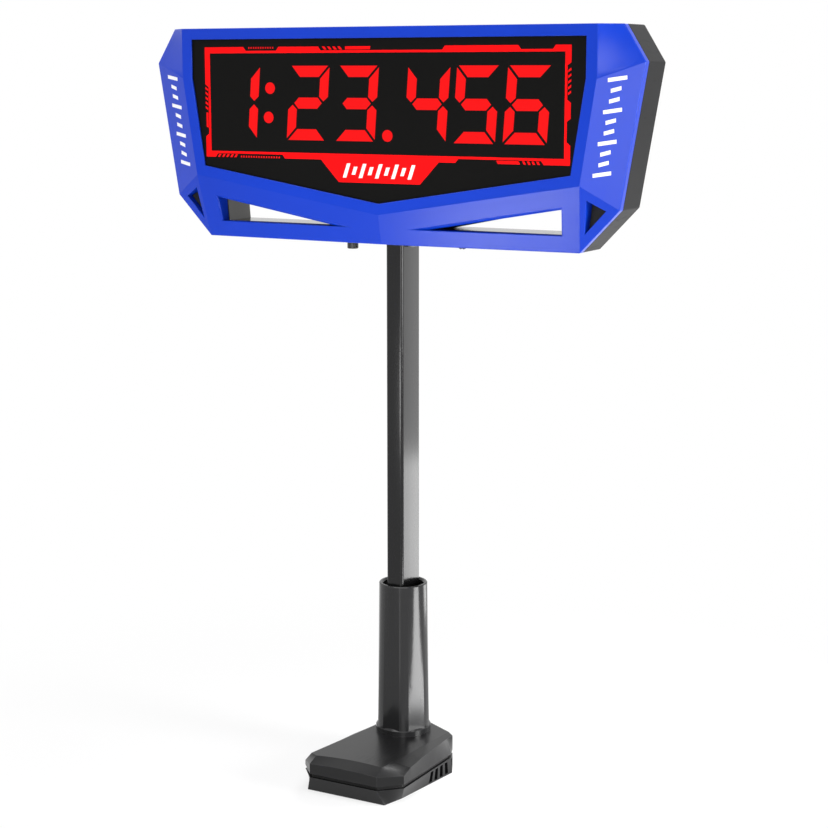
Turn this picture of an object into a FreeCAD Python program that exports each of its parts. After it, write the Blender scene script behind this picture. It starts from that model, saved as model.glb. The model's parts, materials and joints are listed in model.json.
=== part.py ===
import FreeCAD, Part
import math
import os

# Large digital timer: a faceted display head on a flat mast that slides in a
# tapered sleeve on a weighted base. Millimetres, +Z up. The origin lies on the
# desk under the mast's axis. +X is the reader's right, and the display faces -Y.

# ---------------------------------------------------------------- dimensions
# mast: rectangular tube
mast_width = 10.6
mast_depth = 21.0
mast_wall = 1.2
mast_corner_radius = 1.7
mast_travel = 60.0
foot_height = 20.0

# head: heights are drops from its flat top, widths are half widths. The ring around the
# display is the driving width, and the case flares out from it.
head_underside = 307.5
head_height = 118.0
front_to_mast = 28.3
ring_half_width = 128.7
ring_shoulder_drop = 27.9
ring_taper = 8.6
ring_foot_drop = 82.5
ring_point_drop = 101.6
crown_flare = 11.2
wing_flare = 23.4
wing_drop = 19.3
knee_flare = 19.2
knee_drop = 94.9
chin_tuck = 3.1
facet_depth = 8.6
bezel_side_depth = 4.4
rear_depth = 23.0
bezel_wall = 2.8
rear_wall = 2.5

# triangular openings beside the chin, and the corner pockets
opening_heel_set = 9.8
opening_heel_lean = 1.1
opening_length = 79.2
opening_base_height = 9.0
opening_heel_rise = 13.8
opening_wall = 2.0
opening_bevel = 1.3
opening_heel_bevel = 0.8
pocket_top_set = 2.7
pocket_top_drop = 90.0
pocket_side_set = 12.1
pocket_side_drop = 95.4
pocket_foot_set = 3.6
pocket_foot_drop = 107.6

# window and what is printed on it
ring_border = 6.1
window_recess = 1.4
window_thickness = 2.0
window_lap = 2.2
print_thickness = 0.15
frame_side_margin = 8.6
frame_top_margin = 4.4
frame_foot_rise = 10.4
frame_line = 3.4
hairline = 1.3
hairline_gap = 0.4
plaque_top_share = 0.325
plaque_foot_share = 0.224
plaque_height = 12.2
mark_count = 10
mark_start = 6.7
mark_place = 0.445
mark_length = 0.41
mark_width = 2.0
mark_lean = 1.4

# figures
digit_height = 40.8
digit_width = 25.4
digit_slant = 3.0
digit_top_drop = 20.9
stroke_width = 5.6
stroke_rise = 6.1
stroke_gap = 1.0
dot_radius = 3.2
digit_right_edges = [-76.6, -31.0, 0.3, 44.0, 73.5, 103.5]
shown_figures = "123456"
colon_x = -70.7
point_x = 5.4
colon_spread = 16.2
module_depth = 7.0
module_gap = 0.3
module_margin = 0.4

# circuit board and the parts on it
board_lap = 1.8
board_top_drop = 11.5
board_bottom_drop = 69.5
board_thickness = 1.6
boss_radius = 2.4
board_boss_set = 2.6
board_boss_drops = [17.5, 63.5]
radio_x = -95.0
radio_drop = 25.5
radio_width = 18.0
radio_height = 12.0
chip_x = -12.0
chip_drop = 30.0
chip_side = 10.0
sounder_x = -60.0
sounder_drop = 38.0
sounder_radius = 6.0

# battery bay
cell_radius = 7.2
cell_length = 50.0
cell_pitch = 15.6
cell_count = 3
bay_left = 24.0
bay_top_drop = 21.0
bay_wall = 1.4
bay_flange = 2.6
contact_depth = 2.2
contact_radius = 4.6
nub_length = 1.2
nub_radius = 2.7
door_lap = 0.6
door_groove_count = 3
door_groove_start = 5.0
door_groove_pitch = 3.0
door_groove_width = 1.4
door_groove_depth = 0.8
door_groove_half_length = 8.0
lead_radius = 0.6
lead_run = 6.0
lead_sag = 8.0
lead_rises = [6.0, 10.0]

# joints and screws
fit = 0.3
slide_fit = 0.06
screw_radius = 1.4
screw_clearance = 0.05
head_radius = 2.7
well_radius = 3.0
post_radius = 4.4
lip_length = 2.0
lip_root_length = 2.0
lip_wall = 1.2
lip_gap = 0.2
pocket_plug_length = 2.5
pilot_depth = 5.0
board_pilot = 4.0
board_screw_head = 1.2
case_screw_seat = 2.2
case_screw_head = 1.6
wing_screw_set = 8.8
wing_screw_drop = 27.5
chin_screw_spots = [(70.0, 94.0), (16.0, 106.0)]

# button and switch under the head
button_x = -27.4
button_y = -9.0
button_radius = 3.15
button_travel = 1.1
button_reach = 4.6
button_flange_radius = 4.1
button_flange = 0.8
tact_height = 1.5
switch_x = 40.4
switch_y = -5.0
switch_travel = 3.0
knob_width = 3.8
knob_reach = 1.9
knob_neck = 1.1
knob_flange = 1.9
knob_thickness = 1.5
switch_height = 4.0

# housing for the mast on the back of the head
housing_half_width = 12.0
housing_depth = 8.6
housing_height = 70.0
housing_rounding = 2.0
bracket_side = 2.6
bracket_back = 2.8
bracket_front = -4.0
bracket_reach = 2.7
bracket_screw_head = 1.4
bracket_screw_sink = 1.2

# sleeve: a cone whose foot has flats that fade out towards the round mouth
sleeve_top = 109.6
sleeve_top_radius = 14.0
sleeve_foot_radius = 15.9
flat_count = 6
flat_half_angle = 19.8
flange_radius = 16.1
flange_height = 2.9
flare_height = 1.6
flange_neck_radius = 14.2
bore_radius = 11.7
rim_chamfer = 0.9
bush_depth = 4.0
guide_gap = 0.1
spigot_radius = 13.4
spigot_floor = 2.6
collar_radius = 15.9
sleeve_screw_circle = 6.0
sleeve_screw_grip = 2.0
sleeve_screw_head = 1.2

# base: the right flank stands nearly upright, the left flank is tucked in and rakes up to
# the crest, which is the edge of the deck
deck_height = 20.2
base_front = 69.8
front_half_width = 21.8
corner_half_width = 33.2
corner_set = 10.8
side_half_width = 33.9
side_set = 3.8
back_corner_half_width = 31.2
back_corner_y = 3.0
back_half_width = 8.0
base_back = 19.2
left_tuck = 1.8
front_undercut = 2.9
front_foot_half_width = 25.0
corner_foot_half_width = 28.6
corner_foot_set = 16.3
side_foot_half_width = 35.0
side_foot_set = 4.8
flank_set = 51.5
middle_set = 37.0
front_shoulder = 17.0
front_arch = 0.75
corner_shoulder = 16.2
flank_shoulder = 18.8
middle_shoulder = 19.4
middle_lean = 1.1
side_shoulder = 19.7
side_lean = 3.1
back_shoulder = 17.4
left_front_shoulder = 14.1
left_back_shoulder = 11.9
crest_half_width = 21.0
crest_front = 62.6
crest_bow = 2.2
crest_middle = 23.7
crest_right = 26.0
crest_back_corner = 26.8
crest_back_y = 6.4
crest_back = 16.5
crest_left = 16.8
crest_left_back = 15.5
crest_left_back_y = 12.6
crest_left_corner = 25.6
crest_left_corner_set = 61.4
crest_left_front = 63.8
seam_bottom = 9.0
seam_top = 11.3
seam_depth = 1.7
base_clearance = 0.3
base_wall = 2.4
floor_thickness = 2.4
deck_thickness = 2.8
plate_thickness = 2.0
ballast_thickness = 6.0
ballast_gap = 1.4
pad_margin = 4.0
pad_recess = 1.0
base_screw_spots = [(22.5, -46.0), (24.0, -9.0)]
base_screw_grip = 3.2
base_screw_head = 1.5
base_screw_seat = 3.4
vent_count = 4
vent_depth = 4.0
vent_width = 3.2
vent_pitch = 5.4
vent_start = -28.0
vent_rim = 0.9

# ------------------------------------------------------------ derived places
ring_foot_half_width = ring_half_width - ring_taper
crown_half_width = ring_half_width + crown_flare
wing_half_width = ring_half_width + wing_flare
knee_half_width = ring_foot_half_width + knee_flare
chin_half_width = ring_foot_half_width - chin_tuck
opening_heel_x = chin_half_width - opening_heel_set
opening_tip_x = opening_heel_x - opening_length
board_half_width = ring_half_width + board_lap
board_boss_x = board_half_width - board_boss_set
head_top = head_underside + head_height
front_y = -front_to_mast
edge_y = front_y + facet_depth
parting_y = edge_y + bezel_side_depth
back_y = parting_y + rear_depth
window_y = front_y + window_recess
window_back_y = window_y + window_thickness
module_front_y = window_back_y + module_gap
board_y = module_front_y + module_depth
board_back_y = board_y + board_thickness
mast_top = head_underside + housing_height - rear_wall - fit
flange_top = deck_height + flange_height
plate_top = seam_top + 2.1
plate_bottom = plate_top - plate_thickness
bore_floor = plate_top + spigot_floor
foot_bottom = bore_floor + fit
foot_top = foot_bottom + foot_height
bush_top = sleeve_top - bush_depth
bush_bottom = foot_top + mast_travel + fit
foot_floor = foot_bottom + 4.0
bracket_back_y = mast_depth / 2 + slide_fit + bracket_back
bracket_screw_seat = bracket_back_y + bracket_screw_sink
floor_top = base_clearance + floor_thickness
button_stop = head_underside + rear_wall + fit + button_flange + button_travel + fit
bay_right = bay_left + 2 * bay_wall + 2 * contact_depth + cell_length
bay_height = 2 * (bay_wall + fit + cell_radius) + (cell_count - 1) * cell_pitch
bay_bottom = head_top - bay_top_drop - bay_height
cell_y = back_y - rear_wall - cell_radius - 0.8
bay_floor_y = cell_y - cell_radius - fit
door_left = bay_left + door_lap
door_right = bay_right - door_lap
door_bottom = bay_bottom + door_lap
door_top = head_top - bay_top_drop - door_lap
frame_half_width = ring_half_width - ring_border - frame_side_margin
frame_top = head_top - ring_border - frame_top_margin
frame_bottom = head_top - ring_foot_drop + frame_foot_rise
reach = head_top


# ------------------------------------------------------------------- helpers
def vec(x, y, z):
    return FreeCAD.Vector(x, y, z)


def drop(distance):
    """Height of a point given by its drop from the head's flat top."""
    return head_top - distance


def block(x0, x1, y0, y1, z0, z1):
    return Part.makeBox(x1 - x0, y1 - y0, z1 - z0, vec(x0, y0, z0))


def rod(radius, start, direction, length):
    return Part.makeCylinder(radius, length, start, direction)


def polygon(points):
    return Part.Face(Part.makePolygon(points + [points[0]]))


def plate_xz(points, y0, y1):
    """A plate with a vertical outline of (x, z) points between two depths."""
    face = polygon([vec(x, y0, z) for x, z in points])
    return face.extrude(vec(0, y1 - y0, 0))


def plate_xy(points, z0, z1):
    """A plate with a level outline of (x, y) points between two heights."""
    face = polygon([vec(x, y, z0) for x, y in points])
    return face.extrude(vec(0, 0, z1 - z0))


def ruled(start_a, end_a, start_b, end_b):
    """The smooth facet between two straight edges."""
    return Part.makeRuledSurface(Part.makeLine(start_a, end_a), Part.makeLine(start_b, end_b))


def closed(faces):
    shell = Part.Shell(faces)
    shell.sewShape()
    solid = Part.Solid(shell)
    if solid.Volume < 0:
        solid.reverse()
    return solid


def loop(points, bow=None):
    """The straight edges around an outline. With a bow, the edge that closes it is an arc."""
    edges = [Part.makeLine(start, end) for start, end in zip(points, points[1:])]
    if bow is None:
        return edges + [Part.makeLine(points[-1], points[0])]
    middle = (points[-1] + points[0]) * 0.5 + bow
    return edges + [Part.Arc(points[-1], middle, points[0]).toShape()]


def skinned(levels):
    """A closed form through loops that all have the same number of edges."""
    faces = [Part.Face(Part.Wire(levels[0])), Part.Face(Part.Wire(levels[-1]))]
    for lower, upper in zip(levels, levels[1:]):
        faces += [Part.makeRuledSurface(low, high) for low, high in zip(lower, upper)]
    return closed(faces)


def inset(points, distance):
    """An outline moved inwards (or outwards, if the distance is negative)."""
    previous = points[-1:] + points[:-1]
    following = points[1:] + points[:1]
    area = sum(x0 * y1 - x1 * y0 for (x0, y0), (x1, y1) in zip(points, following))
    turn = math.copysign(1.0, area)
    moved = []
    for (x0, y0), (x1, y1), (x2, y2) in zip(previous, points, following):
        before = math.hypot(x1 - x0, y1 - y0) * turn
        after = math.hypot(x2 - x1, y2 - y1) * turn
        normal_before = ((y0 - y1) / before, (x1 - x0) / before)
        normal_after = ((y1 - y2) / after, (x2 - x1) / after)
        cosine = normal_before[0] * normal_after[0] + normal_before[1] * normal_after[1]
        share = distance / (1 + cosine)
        moved.append((x1 + (normal_before[0] + normal_after[0]) * share,
                      y1 + (normal_before[1] + normal_after[1]) * share))
    return moved


def level(points, z):
    return [vec(x, y, z) for x, y in points]


def trimmed(solid, point, outward):
    """The solid without what lies beyond a plane."""
    waste = Part.makeBox(2 * reach, 2 * reach, reach, vec(-reach, -reach, 0))
    waste.Placement = FreeCAD.Placement(point, FreeCAD.Rotation(vec(0, 0, 1), outward))
    return solid.cut(waste)


def outward_normal(a, b, c):
    """Unit normal of the plane through three points, pointing to the reader's side."""
    normal = (b - a).cross(c - a)
    if normal.y > 0:
        normal = normal * -1.0
    return normal.normalize()


def mirrored(shape):
    return shape.mirror(vec(0, 0, 0), vec(1, 0, 0))


def both_sides(shape):
    return [shape, mirrored(shape)]


def fused(shapes):
    return shapes[0].multiFuse(shapes[1:]).removeSplitter()


def mirrored_outline(right_side):
    """A closed outline from its right half, listed from top or front to the far end."""
    left_side = [(-x, y) for x, y in reversed(right_side) if x != 0]
    return right_side + left_side


def screw(head_start, direction, head_depth, length):
    """A pan-head screw: the head starts at the given point and the shank follows."""
    head = rod(head_radius, head_start, direction, head_depth)
    shank_start = head_start + direction * head_depth
    return head.fuse(rod(screw_radius, shank_start, direction, length)).removeSplitter()


def export(name, shapes):
    """Write one node: a single solid, or a group of separate solids."""
    solids = []
    for shape in shapes if isinstance(shapes, list) else [shapes]:
        solids.extend(shape.Solids)
    node = solids[0] if len(solids) == 1 else Part.makeCompound(solids)
    node.exportStep("parts/" + name + ".step")


# -------------------------------------------------------------- head outlines
ring_outline = mirrored_outline([
    (ring_half_width, drop(0)),
    (ring_half_width, drop(ring_shoulder_drop)),
    (ring_foot_half_width, drop(ring_foot_drop)),
    (0, drop(ring_point_drop)),
])
case_outline = mirrored_outline([
    (crown_half_width, drop(0)),
    (wing_half_width, drop(wing_drop)),
    (knee_half_width, drop(knee_drop)),
    (chin_half_width, drop(head_height)),
])
window_opening = inset(ring_outline, ring_border)
window_outline = inset(window_opening, -window_lap)
opening_base = head_underside + opening_base_height
opening_outline = [
    (opening_heel_x, opening_base),
    (opening_heel_x + opening_heel_lean, opening_base + opening_heel_rise),
    (opening_tip_x, opening_base),
]
opening_tube = [
    (opening_heel_x + opening_wall, opening_base - opening_wall),
    (opening_heel_x + opening_heel_lean + opening_wall, opening_base + opening_heel_rise + opening_wall),
    (opening_tip_x, opening_base + opening_wall),
    (opening_tip_x - opening_wall, opening_base - opening_wall),
]
pocket_outline = [
    (ring_foot_half_width + pocket_top_set, drop(pocket_top_drop)),
    (ring_foot_half_width + pocket_side_set, drop(pocket_side_drop)),
    (chin_half_width + pocket_foot_set, drop(pocket_foot_drop)),
]


def head_points(side):
    """Corners of one half of the faceted front, by name."""
    points = {
        "ring_top": vec(side * ring_half_width, front_y, drop(0)),
        "ring_shoulder": vec(side * ring_half_width, front_y, drop(ring_shoulder_drop)),
        "ring_foot": vec(side * ring_foot_half_width, front_y, drop(ring_foot_drop)),
        "ring_point": vec(0, front_y, drop(ring_point_drop)),
        "crown": vec(side * crown_half_width, edge_y, drop(0)),
        "wing": vec(side * wing_half_width, edge_y, drop(wing_drop)),
        "knee": vec(side * knee_half_width, edge_y, drop(knee_drop)),
        "chin": vec(side * chin_half_width, edge_y, drop(head_height)),
    }
    foot = points["ring_foot"]
    normal = (points["ring_point"] - foot).cross(points["chin"] - foot)
    rise = foot.z - drop(head_height)
    run = foot.x
    keel_y = front_y + (normal.x * run + normal.z * rise) / normal.y
    points["keel"] = vec(0, keel_y, drop(head_height))
    return points


def back_of(point):
    return vec(point.x, parting_y, point.z)


def faceted_front():
    """The bezel's outer form as one closed solid."""
    faces = []
    halves = {side: head_points(side) for side in (1, -1)}
    for p in halves.values():
        faces.append(ruled(p["ring_top"], p["crown"], p["ring_shoulder"], p["wing"]))
        faces.append(ruled(p["ring_shoulder"], p["wing"], p["ring_foot"], p["knee"]))
        faces.append(polygon([p["ring_foot"], p["knee"], p["chin"]]))
        faces.append(polygon([p["ring_foot"], p["chin"], p["keel"], p["ring_point"]]))
        for upper, lower in (("crown", "wing"), ("wing", "knee"), ("knee", "chin")):
            faces.append(polygon([p[upper], p[lower], back_of(p[lower]), back_of(p[upper])]))
    right, left = halves[1], halves[-1]
    faces.append(polygon([right["ring_top"], right["ring_shoulder"], right["ring_foot"],
                          right["ring_point"], left["ring_foot"], left["ring_shoulder"],
                          left["ring_top"]]))
    faces.append(polygon([left["ring_top"], right["ring_top"], right["crown"],
                          back_of(right["crown"]), back_of(left["crown"]), left["crown"]]))
    faces.append(polygon([left["chin"], left["keel"], right["chin"],
                          back_of(right["chin"]), back_of(left["chin"])]))
    faces.append(polygon([vec(x, parting_y, z) for x, z in case_outline]))
    return closed(faces)


def bezel_hollow(clearance=0.0):
    """Room behind the bezel's skin, one wall and a clearance in from every facet."""
    wall = bezel_wall + clearance
    hollow = plate_xz(inset(case_outline, wall), front_y + wall, parting_y)
    for side in (1, -1):
        p = head_points(side)
        for names in (("ring_top", "ring_shoulder", "wing"), ("ring_top", "crown", "wing"),
                      ("ring_shoulder", "ring_foot", "knee"), ("ring_shoulder", "wing", "knee"),
                      ("ring_foot", "knee", "chin"), ("ring_foot", "chin", "keel")):
            normal = outward_normal(p[names[0]], p[names[1]], p[names[2]])
            hollow = trimmed(hollow, p[names[0]] - normal * wall, normal)
    return hollow


def triangle_tubes(y0, y1):
    return both_sides(plate_xz(opening_tube, y0, y1))


def triangle_holes(y0, y1):
    return both_sides(plate_xz(opening_outline, y0, y1))


def opening_bevels():
    """Cutters for the sloped rims of the openings: wide at the front facet and down to the
    opening's own outline one bevel behind it. The sill stays sharp."""
    rise = opening_heel_rise / (opening_heel_x + opening_heel_lean - opening_tip_x)
    heel = opening_heel_x + opening_heel_bevel
    rim = [
        (heel, opening_base),
        (heel + opening_heel_lean, opening_base + opening_heel_rise + opening_bevel),
        (opening_tip_x - opening_bevel / rise, opening_base),
    ]
    p = head_points(1)
    normal = outward_normal(p["ring_foot"], p["chin"], p["keel"])
    foot = p["ring_foot"]
    levels = []
    for outline, behind in ((rim, 0.0), (opening_outline, opening_bevel)):
        slope = [(normal.x * (x - foot.x) + normal.z * (z - foot.z)) / normal.y for x, z in outline]
        levels.append(loop([vec(x, foot.y + behind - dip, z) for (x, z), dip in zip(outline, slope)]))
    return both_sides(skinned(levels))


def case_spots():
    spots = [(ring_half_width + wing_screw_set, wing_screw_drop)] + chin_screw_spots
    return [(side * x, drop(down)) for x, down in spots for side in (1, -1)]


def board_spots():
    return [(side * board_boss_x, drop(down)) for down in board_boss_drops for side in (1, -1)]


def front_bezel():
    outer = faceted_front()
    walls = triangle_tubes(front_y, parting_y)
    walls += both_sides(plate_xz(inset(pocket_outline, -opening_wall), front_y, parting_y))
    walls += [rod(boss_radius + 0.8, vec(x, front_y, z), vec(0, 1, 0), parting_y - front_y)
              for x, z in case_spots()]
    walls += [rod(boss_radius, vec(x, front_y, z), vec(0, 1, 0), board_y - front_y)
              for x, z in board_spots()]
    inner = [wall.common(outer) for wall in walls]
    bezel = fused([outer.cut(bezel_hollow())] + inner)
    bezel = bezel.cut(plate_xz(window_opening, front_y - fit, window_y + fit))
    bezel = bezel.cut(plate_xz(inset(window_outline, -0.2), window_y, window_back_y + module_gap))
    for hole in triangle_holes(front_y - fit, parting_y + fit) + opening_bevels():
        bezel = bezel.cut(hole)
    for pocket in both_sides(plate_xz(pocket_outline, front_y - fit, parting_y + fit)):
        bezel = bezel.cut(pocket)
    for x, z in case_spots():
        start = vec(x, parting_y - pilot_depth, z)
        bezel = bezel.cut(rod(screw_radius + screw_clearance, start, vec(0, 1, 0), rear_depth))
    for x, z in board_spots():
        start = vec(x, board_y - board_pilot, z)
        bezel = bezel.cut(rod(screw_radius + screw_clearance, start, vec(0, 1, 0), rear_depth))
    return bezel


def rear_shell():
    shell = plate_xz(case_outline, parting_y, back_y)
    shell = shell.cut(plate_xz(inset(case_outline, rear_wall), parting_y - fit, back_y - rear_wall))
    lip_root = plate_xz(inset(case_outline, rear_wall - fit), parting_y, parting_y + lip_root_length)
    lip_tip = plate_xz(inset(case_outline, bezel_wall + lip_gap), parting_y - lip_length, parting_y)
    lip_tip = lip_tip.common(bezel_hollow(lip_gap))
    lip_hollow = plate_xz(inset(case_outline, bezel_wall + lip_gap + lip_wall),
                          parting_y - 2 * lip_length, parting_y + 2 * lip_length)
    pocket_room = both_sides(plate_xz(inset(pocket_outline, -opening_wall - lip_gap),
                                      parting_y - 2 * lip_length, parting_y))
    lip = lip_root.fuse(lip_tip).cut(lip_hollow)
    for room in pocket_room:
        lip = lip.cut(room)
    pieces = [shell, lip]
    pieces += [rod(post_radius, vec(x, parting_y, z), vec(0, 1, 0), back_y - parting_y)
               for x, z in case_spots()]
    pieces += triangle_tubes(parting_y, back_y)
    pieces += both_sides(plate_xz(inset(pocket_outline, -opening_wall), parting_y,
                                  parting_y + lip_root_length))
    pieces += both_sides(plate_xz(inset(pocket_outline, fit), parting_y - pocket_plug_length,
                                  parting_y + lip_root_length))
    pieces.append(mast_housing())
    shell = fused(pieces)
    shell = shell.cut(housing_hollow())
    for hole in triangle_holes(parting_y - fit, back_y + fit):
        shell = shell.cut(hole)
    for x, z in case_spots():
        seat = vec(x, parting_y + case_screw_seat, z)
        shell = shell.cut(rod(well_radius, seat, vec(0, 1, 0), 2 * rear_depth))
        shell = shell.cut(rod(screw_radius + screw_clearance, vec(x, parting_y - fit, z),
                              vec(0, 1, 0), rear_depth))
    for z in bracket_screw_heights():
        shell = shell.cut(rod(screw_radius + screw_clearance, vec(0, 0, z), vec(0, 1, 0), reach))
        shell = shell.cut(rod(well_radius, vec(0, bracket_screw_seat, z), vec(0, 1, 0), reach))
    door_room = block(door_left - fit, door_right + fit, back_y - rear_wall - fit, back_y + fit,
                      door_bottom - fit, door_top + fit)
    shell = shell.cut(door_room)
    shell = shell.cut(rod(button_radius + slide_fit, vec(button_x, button_y, head_underside - fit),
                          vec(0, 0, 1), rear_wall + 2 * fit))
    half = knob_width / 2 + fit
    shell = shell.cut(block(switch_x - half, switch_x + half + switch_travel,
                            switch_y - knob_neck - fit, switch_y + knob_neck + fit,
                            head_underside - fit, head_underside + rear_wall + fit))
    return shell


def mast_housing():
    """The raised housing on the back that takes the mast's bracket."""
    housing = block(-housing_half_width, housing_half_width, back_y - rear_wall,
                    back_y + housing_depth, head_underside, head_underside + housing_height)
    edges = [edge for edge in housing.Edges
             if edge.CenterOfMass.y > back_y and edge.CenterOfMass.z > head_underside + fit]
    return housing.makeFillet(housing_rounding, edges)


def housing_hollow():
    half = housing_half_width - rear_wall
    upper = block(-half, half, back_y - 2 * rear_wall, bracket_back_y,
                  head_underside + rear_wall, head_underside + housing_height - rear_wall)
    side = mast_width / 2 + bracket_side + 2 * fit
    mouth = block(-side, side, -mast_depth / 2 - 2 * fit, bracket_back_y,
                  head_underside - fit, head_underside + rear_wall + fit)
    return upper.fuse(mouth)


def bracket_screw_heights():
    return [head_underside + housing_height * share for share in (0.32, 0.68)]


def display_window():
    return plate_xz(window_outline, window_y, window_back_y)


def printed(points, layer=0):
    """Ink on the window's face: a thin plate with an outline of (x, z) points."""
    face = window_y - layer * print_thickness
    return plate_xz(points, face - print_thickness, face)


def frame_bar(side, start, end, low, high, lean_start=0.0, lean_end=0.0):
    """Part of the printed frame: a bar between two places along one side, given as shares of
    the side from its middle, and between two distances from the frame's inner edge. A lean
    moves the bar's outer corner along the side."""
    level_side = side in ("top", "bottom")
    middle = 0.0 if level_side else (frame_top + frame_bottom) / 2
    half = frame_half_width if level_side else (frame_top - frame_bottom) / 2
    start = middle + start * half
    end = middle + end * half
    corners = [(start, low), (end, low), (end + lean_end, high), (start + lean_start, high)]
    inner = frame_half_width - frame_line
    places = {
        "top": [(along, frame_top - frame_line + out) for along, out in corners],
        "bottom": [(along, frame_bottom + frame_line - out) for along, out in corners],
        "left": [(-inner - out, along) for along, out in corners],
        "right": [(inner + out, along) for along, out in corners],
    }
    return printed(places[side])


def frame_ticks(side, start, count, pitch, width, lean, low):
    return [frame_bar(side, start + n * pitch, start + n * pitch + width, low, frame_line, lean, lean)
            for n in range(count)]


def border_print():
    """The printed line frame, with its plaque, blocks, ticks and dots."""
    inner = frame_half_width - frame_line
    line_box = mirrored_outline([(inner, frame_top - frame_line), (inner, frame_bottom + frame_line)])
    line = printed(inset(line_box, -hairline)).cut(printed(line_box))
    slope = frame_line - hairline
    blocks = [line]
    for side, start, end, lean_start, lean_end in (
            ("top", -1.0, -0.751, 0, -slope), ("top", -0.582, -0.318, slope, -slope),
            ("top", 0.338, 0.753, slope, -slope), ("top", 0.904, 1.0, slope, 0),
            ("right", 0.646, 1.0, slope, 0), ("right", -0.286, 0.114, slope, -slope),
            ("right", -1.0, -0.597, 0, -slope), ("left", 0.26, 1.0, slope, 0),
            ("left", -1.0, -0.558, 0, -slope), ("bottom", -1.0, -0.926, 0, -slope),
            ("bottom", -0.551, -0.3, slope, 0), ("bottom", 0.3, 0.432, 0, -slope),
            ("bottom", 0.851, 1.0, slope, 0)):
        blocks.append(frame_bar(side, start, end, hairline / 2, frame_line, lean_start, lean_end))
    plaque = [(plaque_top_share * frame_half_width, frame_bottom + slope),
              (plaque_top_share * frame_half_width, frame_bottom),
              (plaque_foot_share * frame_half_width, frame_bottom - plaque_height)]
    blocks.append(printed(mirrored_outline(plaque)))
    low = hairline + hairline_gap
    ticks = [frame_bar("top", -0.184, -0.048, low, frame_line, 0, slope - low)]
    ticks += frame_ticks("top", -0.302, 4, 0.029, 0.014, -1.4, low)
    ticks += frame_ticks("left", -0.149, 5, 0.088, 0.039, 1.2, low)
    ticks += frame_ticks("right", 0.169, 5, 0.094, 0.039, 1.2, low)
    ticks += [frame_bar("left", -0.468, -0.188, low, frame_line - hairline_gap, 0.6, 0)]
    ticks += frame_ticks("bottom", -0.921, 5, 0.0246, 0.0114, -1.2, low)
    ticks += frame_ticks("top", -0.739, 11, 0.014, 0.0053, 0, frame_line - 1.0)
    ticks += frame_ticks("bottom", -0.793, 16, 0.0149, 0.0061, 0, frame_line - 1.0)
    ticks += [frame_bar("bottom", 0.628, 0.742, low, frame_line, 0.8, 0.8)]
    ticks += frame_ticks("bottom", 0.76, 4, 0.0237, 0.0114, 0.9, low)
    return [fused(blocks)] + ticks


def plaque_bars():
    """Plain slanted bars on the plaque."""
    middle = frame_bottom - plaque_height / 2 + 0.4
    pitch = plaque_foot_share * frame_half_width / 5
    bars = []
    for n in range(9):
        centre = (n - 4) * pitch
        half_height = 3.9 if n % 2 == 0 else 2.2
        lean = half_height * 0.35
        bars.append(printed([(centre - 1.1 - lean, middle - half_height),
                             (centre + 1.1 - lean, middle - half_height),
                             (centre + 1.1 + lean, middle + half_height),
                             (centre - 1.1 + lean, middle + half_height)], 1))
    return bars


def wing_marks():
    """Plain scale marks on both wings: ink that follows the facet."""
    front = faceted_front()
    raised = front.copy()
    raised.translate(vec(0, -print_thickness, 0))
    ink = raised.cut(front)
    pitch = (knee_drop - wing_drop) / (mark_count + 4)
    marks = []
    for n in range(mark_count):
        down = wing_drop + mark_start + n * pitch
        ring_run = (down - ring_shoulder_drop) / (ring_foot_drop - ring_shoulder_drop)
        wing_run = (down - wing_drop) / (knee_drop - wing_drop)
        inner = ring_half_width + (ring_foot_half_width - ring_half_width) * max(ring_run, 0)
        width = wing_half_width + (knee_half_width - wing_half_width) * wing_run - inner
        middle = inner + mark_place * width
        half = mark_length * width / 2 * (1.0 if n % 3 == 0 else 0.55)
        z = drop(down)
        outline = [(middle - half, z - mark_lean), (middle + half, z),
                   (middle + half, z - mark_width), (middle - half, z - mark_width - mark_lean)]
        for bar in both_sides(plate_xz(outline, front_y - 1.0, parting_y)):
            marks.append(bar.common(ink))
    return marks


def segment_outlines():
    """The seven strokes of a digit, in its own frame: from its lower left corner."""
    w, h = digit_width, digit_height
    v, t = stroke_width, stroke_rise
    g, mid = stroke_gap, digit_height / 2
    upper_left = [(0, h - g), (v, h - t - g), (v, mid + t / 2 + g / 2), (v / 2, mid + g),
                  (0, mid + t / 2 + g / 2)]
    lower_left = [(x, h - z) for x, z in upper_left]
    return {
        "a": [(g, h), (w - g, h), (w - v - g, h - t), (v + g, h - t)],
        "d": [(g, 0), (w - g, 0), (w - v - g, t), (v + g, t)],
        "g": [(v / 2 + g, mid), (v + g, mid + t / 2), (w - v - g, mid + t / 2),
              (w - v / 2 - g, mid), (w - v - g, mid - t / 2), (v + g, mid - t / 2)],
        "f": upper_left,
        "e": lower_left,
        "b": [(w - x, z) for x, z in upper_left],
        "c": [(w - x, z) for x, z in lower_left],
    }


def figure_outline(points, right_edge):
    """A stroke's outline at its place on the display, slanted."""
    bottom = drop(digit_top_drop + digit_height)
    left = right_edge - digit_width - digit_slant
    return [(left + x + digit_slant * z / digit_height, bottom + z) for x, z in points]


def dot_places():
    middle = drop(digit_top_drop + digit_height / 2)
    lean = digit_slant * colon_spread / digit_height / 2
    base = drop(digit_top_drop + digit_height) + dot_radius
    return [(colon_x + lean, middle + colon_spread / 2), (colon_x - lean, middle - colon_spread / 2),
            (point_x, base)]


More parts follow.
